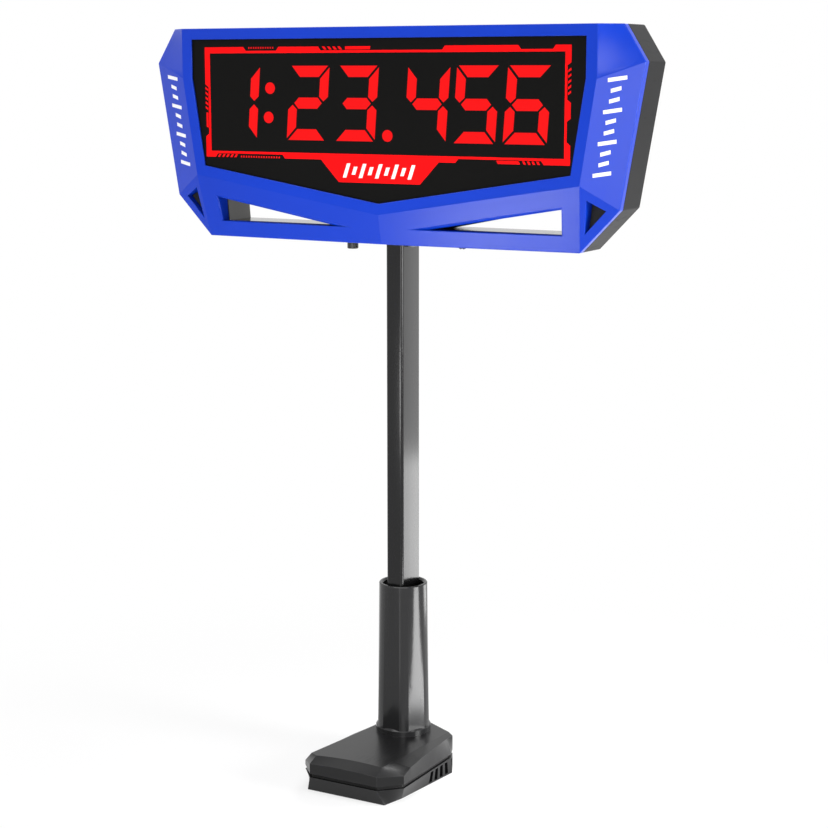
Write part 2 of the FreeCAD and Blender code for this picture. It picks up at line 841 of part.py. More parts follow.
def lit_segments():
    strokes = {"0": "abcdef", "1": "bc", "2": "abged", "3": "abgcd", "4": "fgbc", "5": "afgcd",
               "6": "afgcde", "7": "abc", "8": "abcdefg", "9": "abcdfg"}
    outlines = segment_outlines()
    lit = []
    for figure, right_edge in zip(shown_figures, digit_right_edges):
        for stroke in strokes[figure]:
            lit.append(printed(figure_outline(outlines[stroke], right_edge)))
    for x, z in dot_places():
        lit.append(rod(dot_radius, vec(x, window_y - print_thickness, z), vec(0, 1, 0), print_thickness))
    return lit


def digit_modules():
    top = drop(digit_top_drop - module_margin)
    bottom = drop(digit_top_drop + digit_height + module_margin)
    return [block(right - digit_width - digit_slant - module_margin, right + module_margin,
                  module_front_y, board_y, bottom, top) for right in digit_right_edges]


def dot_lamps():
    return [rod(dot_radius + 0.2, vec(x, module_front_y, z), vec(0, 1, 0), module_depth)
            for x, z in dot_places()]


def led_board():
    board = block(-board_half_width, board_half_width, board_y, board_back_y,
                  drop(board_bottom_drop), drop(board_top_drop))
    for x, z in board_spots():
        board = board.cut(rod(screw_radius + screw_clearance, vec(x, board_y - fit, z),
                              vec(0, 1, 0), board_thickness + 2 * fit))
    return board


def board_screws():
    return [screw(vec(x, board_back_y + board_screw_head, z), vec(0, -1, 0), board_screw_head,
                  board_thickness + board_pilot - 2 * fit) for x, z in board_spots()]


def on_board(x, z, width, depth, height):
    """A block on the board's back, given its centre."""
    return block(x - width / 2, x + width / 2, board_back_y, board_back_y + depth,
                 z - height / 2, z + height / 2)


def radio_module():
    return on_board(radio_x, drop(radio_drop), radio_width, 2.4, radio_height)


def processor_chip():
    return on_board(chip_x, drop(chip_drop), chip_side, 1.6, chip_side)


def sounder():
    return rod(sounder_radius, vec(sounder_x, board_back_y, drop(sounder_drop)), vec(0, 1, 0),
               sounder_radius)


def case_screws():
    return [screw(vec(x, parting_y + case_screw_seat + case_screw_head, z), vec(0, -1, 0),
                  case_screw_head, case_screw_seat + pilot_depth - 2 * fit) for x, z in case_spots()]


# --------------------------------------------------------------- battery bay
def cell_heights():
    top = drop(bay_top_drop) - bay_wall - fit - cell_radius
    return [top - n * cell_pitch for n in range(cell_count)]


def battery_tray():
    flange = block(bay_left - bay_flange, bay_right + bay_flange, back_y - rear_wall - bay_wall,
                   back_y - rear_wall, bay_bottom - bay_flange, drop(bay_top_drop) + bay_flange)
    tray = block(bay_left, bay_right, bay_floor_y - bay_wall, back_y - rear_wall,
                 bay_bottom, drop(bay_top_drop)).fuse(flange)
    room = block(bay_left + bay_wall, bay_right - bay_wall, bay_floor_y, back_y,
                 bay_bottom + bay_wall, drop(bay_top_drop) - bay_wall)
    return tray.cut(room).removeSplitter()


def battery_cells():
    cells = []
    for z in cell_heights():
        start = vec(bay_left + bay_wall + contact_depth, cell_y, z)
        body = rod(cell_radius, start, vec(1, 0, 0), cell_length - nub_length)
        nub_start = start + vec(cell_length - nub_length, 0, 0)
        cells.append(body.fuse(rod(nub_radius, nub_start, vec(1, 0, 0), nub_length)))
    return cells


def battery_contacts():
    """A coil cone at each cell's flat end and a tab at its nub."""
    contacts = []
    for z in cell_heights():
        start = vec(bay_left + bay_wall, cell_y, z)
        contacts.append(Part.makeCone(contact_radius, nub_radius, contact_depth, start, vec(1, 0, 0)))
        end = vec(bay_right - bay_wall - contact_depth, cell_y, z)
        contacts.append(rod(contact_radius, end, vec(1, 0, 0), contact_depth))
    return contacts


def battery_door():
    door = block(door_left, door_right, back_y - rear_wall, back_y, door_bottom, door_top)
    middle = (door_left + door_right) / 2
    for n in range(door_groove_count):
        z = door_top - door_groove_start - n * door_groove_pitch
        door = door.cut(block(middle - door_groove_half_length, middle + door_groove_half_length,
                              back_y - door_groove_depth, back_y + fit, z, z + door_groove_width))
    return door


def lead(points):
    """An insulated wire along straight runs with round corners."""
    pieces = [Part.makeSphere(lead_radius, point) for point in points[1:-1]]
    for start, end in zip(points, points[1:]):
        run = end - start
        pieces.append(rod(lead_radius, start, run, run.Length))
    return fused(pieces)


def leads():
    """Two wires from the bay's side to the board."""
    wires = []
    for rise in lead_rises:
        z = bay_bottom + rise
        depth = board_back_y + lead_sag
        wires.append(lead([vec(bay_left, depth, z), vec(bay_left - lead_run, depth, z),
                           vec(bay_left - lead_run, board_back_y, z)]))
    return wires


# ------------------------------------------------------- button and switch
def mode_button():
    stem = rod(button_radius, vec(button_x, button_y, head_underside - button_reach), vec(0, 0, 1),
               button_reach + rear_wall + fit)
    flange = rod(button_flange_radius, vec(button_x, button_y, head_underside + rear_wall + fit),
                 vec(0, 0, 1), button_flange)
    foot = [edge for edge in stem.Edges if edge.CenterOfMass.z < head_underside - button_reach + 0.1
            and edge.Curve.TypeId == "Part::GeomCircle"]
    return stem.makeFillet(0.6, foot).fuse(flange).removeSplitter()


def button_switch():
    ceiling = head_underside + opening_base_height - opening_wall
    body = block(button_x - 3.0, button_x + 3.0, button_y - 3.0, button_y + 3.0,
                 ceiling - tact_height, ceiling)
    nib_length = ceiling - tact_height - button_stop
    return body.fuse(rod(1.2, vec(button_x, button_y, button_stop), vec(0, 0, 1), nib_length))


def switch_body():
    floor = head_underside + rear_wall
    half = knob_width / 2
    body = block(switch_x - half - 2.4, switch_x + half + switch_travel + 2.4, switch_y - 3.4,
                 switch_y + 3.4, floor, floor + switch_height)
    room = block(switch_x - half - fit, switch_x + half + switch_travel + fit,
                 switch_y - knob_flange - fit, switch_y + knob_flange + fit,
                 floor - fit, floor + 2 * fit + knob_thickness)
    return body.cut(room)


def switch_knob():
    floor = head_underside + rear_wall
    half = knob_width / 2
    neck = block(switch_x - half, switch_x + half, switch_y - knob_neck, switch_y + knob_neck,
                 head_underside - knob_reach, floor + fit)
    flange = block(switch_x - half, switch_x + half, switch_y - knob_flange, switch_y + knob_flange,
                   floor + fit, floor + fit + knob_thickness)
    knob = neck.fuse(flange)
    for side in (1, -1):
        rib = rod(0.45, vec(switch_x + side * 1.0, switch_y - knob_neck, head_underside - knob_reach),
                  vec(0, 1, 0), 2 * knob_neck)
        knob = knob.fuse(rib)
    return knob.removeSplitter()


# ---------------------------------------------------------------------- mast
def rounded_bar(width, depth, radius, z0, z1):
    bar = block(-width / 2, width / 2, -depth / 2, depth / 2, z0, z1)
    edges = [edge for edge in bar.Edges if abs(edge.Vertexes[0].Z - edge.Vertexes[1].Z) > 1.0]
    return bar.makeFillet(radius, edges)


def mast_tube():
    outside = rounded_bar(mast_width, mast_depth, mast_corner_radius, foot_floor, mast_top)
    inside = rounded_bar(mast_width - 2 * mast_wall, mast_depth - 2 * mast_wall,
                         mast_corner_radius / 3, foot_floor - 1.0, mast_top + 1.0)
    tube = outside.cut(inside)
    for z in bracket_screw_heights():
        tube = tube.cut(rod(screw_radius + screw_clearance, vec(0, 0, z), vec(0, 1, 0), mast_depth))
    return tube


def mast_foot():
    """The round shoe on the mast's lower end, which is also the upper stop."""
    shoe = rod(bore_radius - slide_fit, vec(0, 0, foot_bottom), vec(0, 0, 1), foot_height)
    socket = rounded_bar(mast_width, mast_depth, mast_corner_radius, foot_floor, foot_top + 1.0)
    return shoe.cut(socket)


def mast_bracket():
    side = mast_width / 2 + slide_fit
    bottom = head_underside - bracket_reach
    top = mast_top - fit
    outside = block(-side - bracket_side, side + bracket_side, bracket_front, bracket_back_y,
                    bottom, top)
    inside = block(-side, side, bracket_front - 1.0, mast_depth / 2 + slide_fit,
                   bottom - 1.0, top + 1.0)
    bracket = outside.cut(inside)
    for z in bracket_screw_heights():
        bracket = bracket.cut(rod(screw_radius + screw_clearance, vec(0, 0, z), vec(0, 1, 0), reach))
    return bracket


def bracket_screws():
    head = bracket_screw_head
    return [screw(vec(0, bracket_screw_seat + head, z), vec(0, -1, 0), head,
                  bracket_screw_seat - mast_depth / 2 + mast_wall + 1.0)
            for z in bracket_screw_heights()]


# -------------------------------------------------------------------- sleeve
def around(radius, degrees, z):
    """A point on a circle about the mast's axis, its angle counted from the reader's side."""
    angle = math.radians(degrees)
    return vec(radius * math.sin(angle), -radius * math.cos(angle), z)


def sleeve_skin():
    """Ruled from the round mouth down to a foot of flats with round stretches between."""
    pitch = 360.0 / flat_count
    mouth = []
    foot = []
    for n in range(flat_count):
        flat_start = n * pitch - flat_half_angle
        flat_end = n * pitch + flat_half_angle
        for start, end in ((flat_start, flat_end), (flat_end, flat_start + pitch)):
            middle = (start + end) / 2
            top = [around(sleeve_top_radius, a, sleeve_top) for a in (start, middle, end)]
            low = [around(sleeve_foot_radius, a, flange_top) for a in (start, middle, end)]
            mouth.append(Part.Arc(*top).toShape())
            foot.append(Part.makeLine(low[0], low[2]) if start == flat_start
                        else Part.Arc(*low).toShape())
    return skinned([foot, mouth])


def sleeve():
    height = sleeve_top - deck_height
    rim_radius = sleeve_top_radius - rim_chamfer / 2
    rim = Part.makeCone(rim_radius + height, rim_radius, height, vec(0, 0, deck_height))
    flare = Part.makeCone(flange_radius, flange_neck_radius, flare_height, vec(0, 0, flange_top))
    flange = rod(flange_radius, vec(0, 0, deck_height), vec(0, 0, 1), flange_height)
    spigot = rod(spigot_radius, vec(0, 0, plate_top), vec(0, 0, 1), deck_height - plate_top)
    body = fused([sleeve_skin().common(rim), flare, flange, spigot])
    body = body.cut(rod(bore_radius, vec(0, 0, bore_floor), vec(0, 0, 1), reach))
    body = body.cut(Part.makeCone(bore_radius, bore_radius + rim_chamfer, rim_chamfer,
                                  vec(0, 0, sleeve_top - rim_chamfer)))
    for x, y in sleeve_screw_places():
        body = body.cut(rod(screw_radius + screw_clearance, vec(x, y, plate_top - fit),
                            vec(0, 0, 1), sleeve_screw_grip + fit))
    return body


def sleeve_screw_places():
    angles = [math.radians(90 + 120 * n) for n in range(3)]
    return [(sleeve_screw_circle * math.cos(a), sleeve_screw_circle * math.sin(a)) for a in angles]


def guide_bush():
    bush = rod(bore_radius, vec(0, 0, bush_bottom), vec(0, 0, 1), bush_top - bush_bottom)
    window = rounded_bar(mast_width + 2 * guide_gap, mast_depth + 2 * guide_gap,
                         mast_corner_radius + guide_gap, bush_bottom - 1.0, bush_top + 1.0)
    return bush.cut(window)


def clamp_plate():
    plate = rod(collar_radius, vec(0, 0, plate_bottom), vec(0, 0, 1), plate_thickness)
    for x, y in sleeve_screw_places():
        plate = plate.cut(rod(screw_radius + screw_clearance, vec(x, y, plate_bottom - 1.0),
                              vec(0, 0, 1), plate_thickness + 2.0))
    return plate


def sleeve_screws():
    return [screw(vec(x, y, plate_bottom - sleeve_screw_head), vec(0, 0, 1), sleeve_screw_head,
                  plate_thickness + sleeve_screw_grip - fit) for x, y in sleeve_screw_places()]


# ---------------------------------------------------------------------- base
def on_line(start, end, y):
    """The point at a depth on the line through two (x, y) points."""
    share = (y - start[1]) / (end[1] - start[1])
    return start[0] + (end[0] - start[0]) * share, y


def tucked_outline(right_side):
    """A closed plan from its right half. The left flank is tucked in, while the front and
    back edges are centred."""
    front, back = right_side[0], right_side[-1]
    left_flank = [(left_tuck - x, y) for x, y in reversed(right_side[1:-1])]
    return right_side + [(-back[0], back[1])] + left_flank + [(-front[0], front[1])]


def base_outline(partners=()):
    """The plan at the seam. Partner points lie on the flanks, at the given distances in front
    of the mast."""
    corner = (corner_half_width, -base_front + corner_set)
    side = (side_half_width, -side_set)
    flank = [on_line(corner, side, -partner) for partner in partners]
    return tucked_outline([(front_half_width, -base_front), corner] + flank + [
        side, (back_corner_half_width, back_corner_y), (back_half_width, base_back)])


foot_outline = tucked_outline([
    (front_foot_half_width, -base_front + front_undercut),
    (corner_foot_half_width, -base_front + corner_foot_set),
    (side_foot_half_width, -side_foot_set),
    (back_corner_half_width, back_corner_y),
    (back_half_width, base_back),
])
lower_outline = base_outline()


def between(first, second, share):
    return [(x0 + (x1 - x0) * share, y0 + (y1 - y0) * share)
            for (x0, y0), (x1, y1) in zip(first, second)]


def floor_outline():
    share = (floor_top - base_clearance) / (seam_bottom - base_clearance)
    return between(foot_outline, lower_outline, share)


def lower_shell():
    shell = skinned([loop(level(foot_outline, base_clearance)), loop(level(lower_outline, seam_bottom))])
    hollow = skinned([loop(level(inset(floor_outline(), base_wall), floor_top)),
                      loop(level(inset(lower_outline, base_wall), seam_bottom))])
    shell = shell.cut(hollow)
    shell = fused([shell] + [rod(post_radius, vec(x, y, base_clearance), vec(0, 0, 1),
                                 seam_top - base_clearance) for x, y in base_screw_places()])
    for x, y in base_screw_places():
        seat = vec(x, y, base_screw_seat)
        shell = shell.cut(rod(screw_radius + screw_clearance, seat, vec(0, 0, 1), reach))
        shell = shell.cut(rod(well_radius, vec(x, y, 0), vec(0, 0, 1), base_screw_seat))
    shell = shell.cut(plate_xy(inset(foot_outline, pad_margin - slide_fit), 0,
                               base_clearance + pad_recess))
    for start, width in vent_places():
        for side, edge in ((1, side_half_width), (-1, side_half_width - left_tuck)):
            inner, outer = sorted((side * (edge - vent_depth), side * side_half_width * 1.1))
            shell = shell.cut(block(inner, outer, start, start + width,
                                    base_clearance + vent_rim, seam_bottom - vent_rim))
    return shell


def vent_places():
    """Where each vent starts, and its width. The last one wraps the back corner."""
    slots = [(vent_start + n * vent_pitch, vent_width) for n in range(vent_count)]
    return slots + [(-side_set, side_set + back_corner_y)]


def base_screw_places():
    return [spot for x, y in base_screw_spots for spot in ((x, y), (left_tuck - x, y))]


def crest_outline():
    """The edge of the deck. Its left run is skewed, and each of its points has a partner on
    the seam."""
    right_front = (crest_half_width, -crest_front)
    right_middle = (crest_middle, -middle_set)
    left_side = (-crest_left, -side_set)
    left_corner = (-crest_left_corner, -crest_left_corner_set)
    return [
        right_front,
        on_line(right_front, right_middle, -base_front + corner_set),
        on_line(right_front, right_middle, -flank_set),
        right_middle,
        (crest_right, -side_set),
        (crest_back_corner, crest_back_y),
        (back_half_width, crest_back),
        (-back_half_width, crest_back),
        (-crest_left_back, crest_left_back_y),
        left_side,
        on_line(left_side, left_corner, -middle_set),
        on_line(left_side, left_corner, -flank_set),
        left_corner,
        (-crest_half_width, -crest_left_front),
    ]


def upper_levels(shift_in, shift_down):
    """The upper shell's loops at the seam, shoulder and crest. The front edges of the
    shoulder and the crest are bowed."""
    seam = base_outline((flank_set, middle_set))
    shoulder = list(seam)
    for place, lean in ((3, middle_lean), (4, side_lean)):
        x, y = shoulder[place]
        shoulder[place] = (x - lean, y)
    heights = [front_shoulder, corner_shoulder, flank_shoulder, middle_shoulder, side_shoulder,
               side_shoulder, back_shoulder, back_shoulder, left_back_shoulder, left_back_shoulder,
               left_front_shoulder, left_front_shoulder, left_front_shoulder, front_shoulder]
    crest = crest_outline()
    lowest = seam_top
    if shift_in:
        seam = inset(seam, shift_in)
        shoulder = inset(shoulder, shift_in)
        crest = inset(crest, shift_in)
        lowest = floor_top
    shoulder = [vec(x, y, z - shift_down) for (x, y), z in zip(shoulder, heights)]
    return [loop(level(seam, lowest)), loop(shoulder, vec(0, 0, front_arch)),
            loop(level(crest, deck_height - shift_down), vec(0, crest_bow, 0))]


def upper_shell():
    outside = skinned(upper_levels(0.0, 0.0))
    inside = skinned(upper_levels(base_wall, deck_thickness))
    collar = rod(collar_radius, vec(0, 0, plate_top), vec(0, 0, 1), deck_height - plate_top)
    posts = [rod(post_radius, vec(x, y, seam_top), vec(0, 0, 1), deck_height - seam_top)
             for x, y in base_screw_places()]
    shell = fused([outside.cut(inside)] + [piece.common(outside) for piece in [collar] + posts])
    shell = shell.cut(rod(spigot_radius + slide_fit, vec(0, 0, plate_top - 1.0), vec(0, 0, 1), reach))
    for x, y in base_screw_places():
        shell = shell.cut(rod(screw_radius + screw_clearance, vec(x, y, seam_top - 1.0),
                              vec(0, 0, 1), base_screw_grip + 1.0))
    return shell


def seam_band():
    outer = plate_xy(inset(lower_outline, seam_depth), seam_bottom, seam_top)
    return outer.cut(plate_xy(inset(lower_outline, seam_depth + base_wall), seam_bottom, seam_top))


def ballast_plate():
    plate = plate_xy(inset(floor_outline(), base_wall + ballast_gap), floor_top,
                     floor_top + ballast_thickness)
    for x, y in base_screw_places():
        plate = plate.cut(rod(post_radius + 2 * fit, vec(x, y, 0), vec(0, 0, 1), deck_height))
    return plate


def base_screws():
    return [screw(vec(x, y, base_screw_seat - base_screw_head), vec(0, 0, 1), base_screw_head,
                  seam_top - base_screw_seat + base_screw_grip - fit) for x, y in base_screw_places()]


def rubber_pad():
    pad = plate_xy(inset(foot_outline, pad_margin), 0, base_clearance + pad_recess)
    for x, y in base_screw_places():
        pad = pad.cut(rod(well_radius, vec(x, y, 0), vec(0, 0, 1), deck_height))
    return pad


nodes = {
    "front_bezel": front_bezel,
    "rear_shell": rear_shell,
    "display_window": display_window,
    "border_print": border_print,
    "plaque_bars": plaque_bars,
    "wing_marks": wing_marks,
    "lit_segments": lit_segments,
    "digit_modules": digit_modules,
    "dot_lamps": dot_lamps,
    "led_board": led_board,
    "board_screws": board_screws,
    "radio_module": radio_module,
    "processor_chip": processor_chip,
    "sounder": sounder,
    "case_screws": case_screws,
    "battery_tray": battery_tray,
    "battery_cells": battery_cells,
    "battery_contacts": battery_contacts,
    "battery_door": battery_door,
    "leads": leads,
    "mode_button": mode_button,
    "button_switch": button_switch,
    "switch_body": switch_body,
    "switch_knob": switch_knob,
    "mast_tube": mast_tube,
    "mast_foot": mast_foot,
    "mast_bracket": mast_bracket,
    "bracket_screws": bracket_screws,
    "sleeve": sleeve,
    "guide_bush": guide_bush,
    "clamp_plate": clamp_plate,
    "sleeve_screws": sleeve_screws,
    "lower_shell": lower_shell,
    "upper_shell": upper_shell,
    "seam_band": seam_band,
    "ballast_plate": ballast_plate,
    "base_screws": base_screws,
    "rubber_pad": rubber_pad,
}

os.makedirs("parts", exist_ok=True)
for name, make in nodes.items():
    export(name, make())
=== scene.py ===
import json
import math

import bmesh
import bpy
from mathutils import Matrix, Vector

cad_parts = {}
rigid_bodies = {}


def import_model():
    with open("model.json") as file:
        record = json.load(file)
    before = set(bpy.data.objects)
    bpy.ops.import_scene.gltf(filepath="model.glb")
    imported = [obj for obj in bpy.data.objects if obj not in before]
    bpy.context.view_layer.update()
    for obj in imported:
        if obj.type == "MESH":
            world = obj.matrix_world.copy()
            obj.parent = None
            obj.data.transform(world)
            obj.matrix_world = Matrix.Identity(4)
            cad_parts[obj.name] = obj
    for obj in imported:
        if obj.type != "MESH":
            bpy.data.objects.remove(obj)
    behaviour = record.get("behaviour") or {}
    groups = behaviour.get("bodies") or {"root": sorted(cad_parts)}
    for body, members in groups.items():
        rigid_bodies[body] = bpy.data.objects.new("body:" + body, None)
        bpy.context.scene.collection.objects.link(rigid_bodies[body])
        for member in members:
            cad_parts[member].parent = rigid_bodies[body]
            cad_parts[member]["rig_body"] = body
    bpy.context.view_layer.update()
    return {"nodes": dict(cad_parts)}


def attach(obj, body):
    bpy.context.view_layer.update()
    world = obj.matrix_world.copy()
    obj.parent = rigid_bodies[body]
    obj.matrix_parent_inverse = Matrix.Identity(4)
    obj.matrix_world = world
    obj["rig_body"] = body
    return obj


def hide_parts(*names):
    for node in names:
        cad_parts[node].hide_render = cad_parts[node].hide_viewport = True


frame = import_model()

# The view: a long portrait lens to the right of the display, level with its
# lower edge and looking slightly down, so that the whole timer stands in frame.
camera_data = bpy.data.cameras.new("camera")
camera_data.lens = 81.37
camera_data.sensor_width = 36.0
camera_data.clip_start = 0.05
camera_data.clip_end = 30.0
camera = bpy.data.objects.new("camera", camera_data)
camera.location = (0.5128, -0.9215, 0.4009)
camera.rotation_mode = "QUATERNION"
camera.rotation_quaternion = Vector((-0.4733, 0.8625, -0.1795)).to_track_quat("-Z", "Y")
bpy.context.scene.collection.objects.link(camera)
bpy.context.scene.camera = camera
bpy.context.scene.view_settings.view_transform = "Standard"


# The studio: a white surround and a pale floor that keeps the shadow of the base.
# Both show white to the lens and in reflections, and light the timer less. From
# under it the floor is clear, so that the foot pad can be seen.
def seen_directly(tree):
    """1 for rays from the lens and for reflected and refracted rays, else 0."""
    path = tree.nodes.new("ShaderNodeLightPath")
    glossy = tree.nodes.new("ShaderNodeMath")
    glossy.operation = "MAXIMUM"
    tree.links.new(path.outputs["Is Camera Ray"], glossy.inputs[0])
    tree.links.new(path.outputs["Is Glossy Ray"], glossy.inputs[1])
    seen = tree.nodes.new("ShaderNodeMath")
    seen.operation = "MAXIMUM"
    tree.links.new(glossy.outputs[0], seen.inputs[0])
    tree.links.new(path.outputs["Is Transmission Ray"], seen.inputs[1])
    return seen.outputs[0]


def spread(tree, value, low, high):
    """A 0 to 1 value spread between two numbers."""
    node = tree.nodes.new("ShaderNodeMapRange")
    node.inputs["To Min"].default_value = low
    node.inputs["To Max"].default_value = high
    tree.links.new(value, node.inputs["Value"])
    return node.outputs["Result"]


world = bpy.data.worlds.new("surround")
bpy.context.scene.world = world
world.use_nodes = True
sky = world.node_tree
sky.nodes.clear()
surround = sky.nodes.new("ShaderNodeBackground")
surround.inputs["Color"].default_value = (1.0, 1.0, 1.0, 1.0)
light_given, white_shown = 0.14, 1.0
sky.links.new(spread(sky, seen_directly(sky), light_given, white_shown),
              surround.inputs["Strength"])
sky_output = sky.nodes.new("ShaderNodeOutputWorld")
sky.links.new(surround.outputs["Background"], sky_output.inputs["Surface"])

floor_material = bpy.data.materials.new("pale_floor")
floor_material.use_nodes = True
tree = floor_material.node_tree
tree.nodes.clear()
matt = tree.nodes.new("ShaderNodeBsdfDiffuse")
matt.inputs["Color"].default_value = (0.85, 0.85, 0.85, 1.0)
white = tree.nodes.new("ShaderNodeEmission")
from_base = tree.nodes.new("ShaderNodeVectorMath")
from_base.operation = "LENGTH"
tree.links.new(tree.nodes.new("ShaderNodeTexCoord").outputs["Object"], from_base.inputs[0])
shadow_ends, white_starts, white_in_shadow = 0.1, 0.4, 0.66
fade = tree.nodes.new("ShaderNodeMapRange")
fade.interpolation_type = "SMOOTHSTEP"
fade.inputs["From Min"].default_value = shadow_ends
fade.inputs["From Max"].default_value = white_starts
fade.inputs["To Min"].default_value = white_in_shadow
tree.links.new(from_base.outputs["Value"], fade.inputs["Value"])
seen_white = tree.nodes.new("ShaderNodeMath")
seen_white.operation = "MULTIPLY"
tree.links.new(seen_directly(tree), seen_white.inputs[0])
tree.links.new(fade.outputs["Result"], seen_white.inputs[1])
floor_mix = tree.nodes.new("ShaderNodeMixShader")
tree.links.new(seen_white.outputs[0], floor_mix.inputs["Fac"])
tree.links.new(matt.outputs["BSDF"], floor_mix.inputs[1])
tree.links.new(white.outputs["Emission"], floor_mix.inputs[2])
from_below = tree.nodes.new("ShaderNodeMixShader")
tree.links.new(tree.nodes.new("ShaderNodeNewGeometry").outputs["Backfacing"],
               from_below.inputs["Fac"])
tree.links.new(floor_mix.outputs["Shader"], from_below.inputs[1])
tree.links.new(tree.nodes.new("ShaderNodeBsdfTransparent").outputs["BSDF"],
               from_below.inputs[2])
floor_output = tree.nodes.new("ShaderNodeOutputMaterial")
tree.links.new(from_below.outputs["Shader"], floor_output.inputs["Surface"])

half_side = 6.0
floor_mesh = bpy.data.meshes.new("floor")
floor_mesh.from_pydata([(-half_side, -half_side, 0.0), (half_side, -half_side, 0.0),
                        (half_side, half_side, 0.0), (-half_side, half_side, 0.0)],
                       [], [(0, 1, 2, 3)])
floor_mesh.materials.append(floor_material)
floor = bpy.data.objects.new("floor", floor_mesh)
bpy.context.scene.collection.objects.link(floor)


# The lamps: soft rectangular panels round the timer. One hangs overhead, one
# stands by the lens, and narrow ones give the mast and the sleeve their streaks.
def soft_lamp(name, place, target, width, height, power):
    """A rectangular panel that faces a point, and that the lens doesn't see."""
    data = bpy.data.lights.new(name, "AREA")
    data.shape = "RECTANGLE"
    data.size = width
    data.size_y = height
    data.energy = power
    lamp = bpy.data.objects.new(name, data)
    lamp.location = place
    lamp.rotation_mode = "QUATERNION"
    lamp.rotation_quaternion = (Vector(target) - Vector(place)).to_track_quat("-Z", "Y")
    lamp.visible_camera = False
    bpy.context.scene.collection.objects.link(lamp)


soft_lamp("overhead", (0.1, -0.25, 1.5), (0.0, 0.0, 0.25), 1.4, 1.0, 12.5)
soft_lamp("by_lens", (0.66, -1.22, 0.33), (0.14, -0.02, 0.38), 0.4, 0.6, 7.2)
soft_lamp("low_front", (-0.02, -0.265, 0.18), (0.088, -0.03, 0.32), 0.13, 0.07, 0.42)
soft_lamp("right_side", (1.2, 0.02, 0.35), (0.0, 0.0, 0.3), 0.34, 0.5, 13.0)
soft_lamp("by_sleeve", (0.125, 0.0, 0.045), (0.0, 0.0, 0.045), 0.05, 0.09, 0.21)
soft_lamp("behind_low", (0.17, 0.31, 0.05), (0.0, 0.0, 0.12), 0.13, 0.12, 0.25)
soft_lamp("behind_high", (0.17, 0.31, 0.2), (0.0, 0.0, 0.25), 0.13, 0.2, 0.1)
soft_lamp("left_side", (-1.1, -0.24, 0.35), (-0.05, 0.0, 0.3), 0.3, 0.6, 0.5)
soft_lamp("left_high", (-0.95, -0.7, 0.95), (-0.05, 0.0, 0.35), 0.5, 0.5, 4.8)
soft_lamp("behind_fill", (-0.05, 1.35, 1.45), (0.0, 0.0, 0.3), 0.7, 0.7, 12.0)
soft_lamp("by_front", (0.046, -0.2, 0.05), (0.005, -0.014, 0.06), 0.014, 0.1, 0.015)


# The front bezel: one ABS moulding in blue, with flat facets round the window and
# two slots below it. Its finish is satin and its edges are softly rounded.
def skin(name, width, sharp=22.0, crease=22.0, flat=0.1, share_of_room=0.42):
    """A node's solid with its sharp edges rounded, that stands for the node."""
    solid = frame["nodes"][name]
    shape = bmesh.new()
    shape.from_mesh(solid.data)
    bmesh.ops.remove_doubles(shape, verts=shape.verts, dist=1e-6)
    bmesh.ops.dissolve_limit(shape, angle_limit=math.radians(flat), verts=shape.verts,
                             edges=shape.edges)
    weight = shape.edges.layers.float.new("bevel_weight_edge")
    for edge in shape.edges:
        if edge.is_convex and edge.calc_face_angle() > math.radians(sharp):
            edge[weight] = min(1.0, share_of_room * room_beside(edge) / width)
    mesh = bpy.data.meshes.new(name + "_skin")
    shape.to_mesh(mesh)
    shape.free()
    mesh.shade_smooth()
    mesh.set_sharp_from_angle(angle=math.radians(crease))
    piece = bpy.data.objects.new(name + "_skin", mesh)
    bpy.context.scene.collection.objects.link(piece)
    rounding = piece.modifiers.new("rounded_edges", "BEVEL")
    rounding.limit_method = "WEIGHT"
    rounding.width = width
    rounding.segments = 3
    rounding.use_clamp_overlap = False
    rounding.harden_normals = True
    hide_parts(name)
    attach(piece, solid["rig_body"])
    return piece


def room_beside(edge, straight_on=-0.85):
    """The shortest edge that a rounding of this edge would run along."""
    room = 1.0
    for corner in edge.verts:
        along = (edge.other_vert(corner).co - corner.co).normalized()
        for near in corner.link_edges:
            if near is edge:
                continue
            reach = near.other_vert(corner).co - corner.co
            if along.dot(reach.normalized()) > straight_on:
                room = min(room, reach.length)
    return room


def new_group(name, inputs, outputs):
    """A shader node group with float or vector inputs and float outputs."""
    group = bpy.data.node_groups.new(name, "ShaderNodeTree")
    for label, value in inputs.items():
        kind = "NodeSocketVector" if isinstance(value, tuple) else "NodeSocketFloat"
        socket = group.interface.new_socket(label, in_out="INPUT", socket_type=kind)
        socket.default_value = value
    for label in outputs:
        group.interface.new_socket(label, in_out="OUTPUT", socket_type="NodeSocketFloat")
    return group, group.nodes.new("NodeGroupInput"), group.nodes.new("NodeGroupOutput")


def noise_at(tree, place, scale, detail=2.0):
    """Noise over a place, with its scale from a socket or a number."""
    node = tree.nodes.new("ShaderNodeTexNoise")
    node.inputs["Detail"].default_value = detail
    tree.links.new(place, node.inputs["Vector"])
    if isinstance(scale, float):
        node.inputs["Scale"].default_value = scale
    else:
        tree.links.new(scale, node.inputs["Scale"])
    return node.outputs["Fac"]


def between(tree, value, start, end):
    """0 below start and 1 above end, or the other way round where end is lower."""
    node = tree.nodes.new("ShaderNodeMapRange")
    node.interpolation_type = "SMOOTHSTEP"
    node.inputs["From Min"].default_value = start
    node.inputs["From Max"].default_value = end
    tree.links.new(value, node.inputs["Value"])
    return node.outputs["Result"]


def reckon(tree, operation, first, second):
    """One sum on two values, each a socket or a number."""
    node = tree.nodes.new("ShaderNodeMath")
    node.operation = operation
    for socket, value in zip(node.inputs, (first, second)):
        if isinstance(value, float):
            socket.default_value = value
        else:
            tree.links.new(value, socket)
    return node.outputs[0]


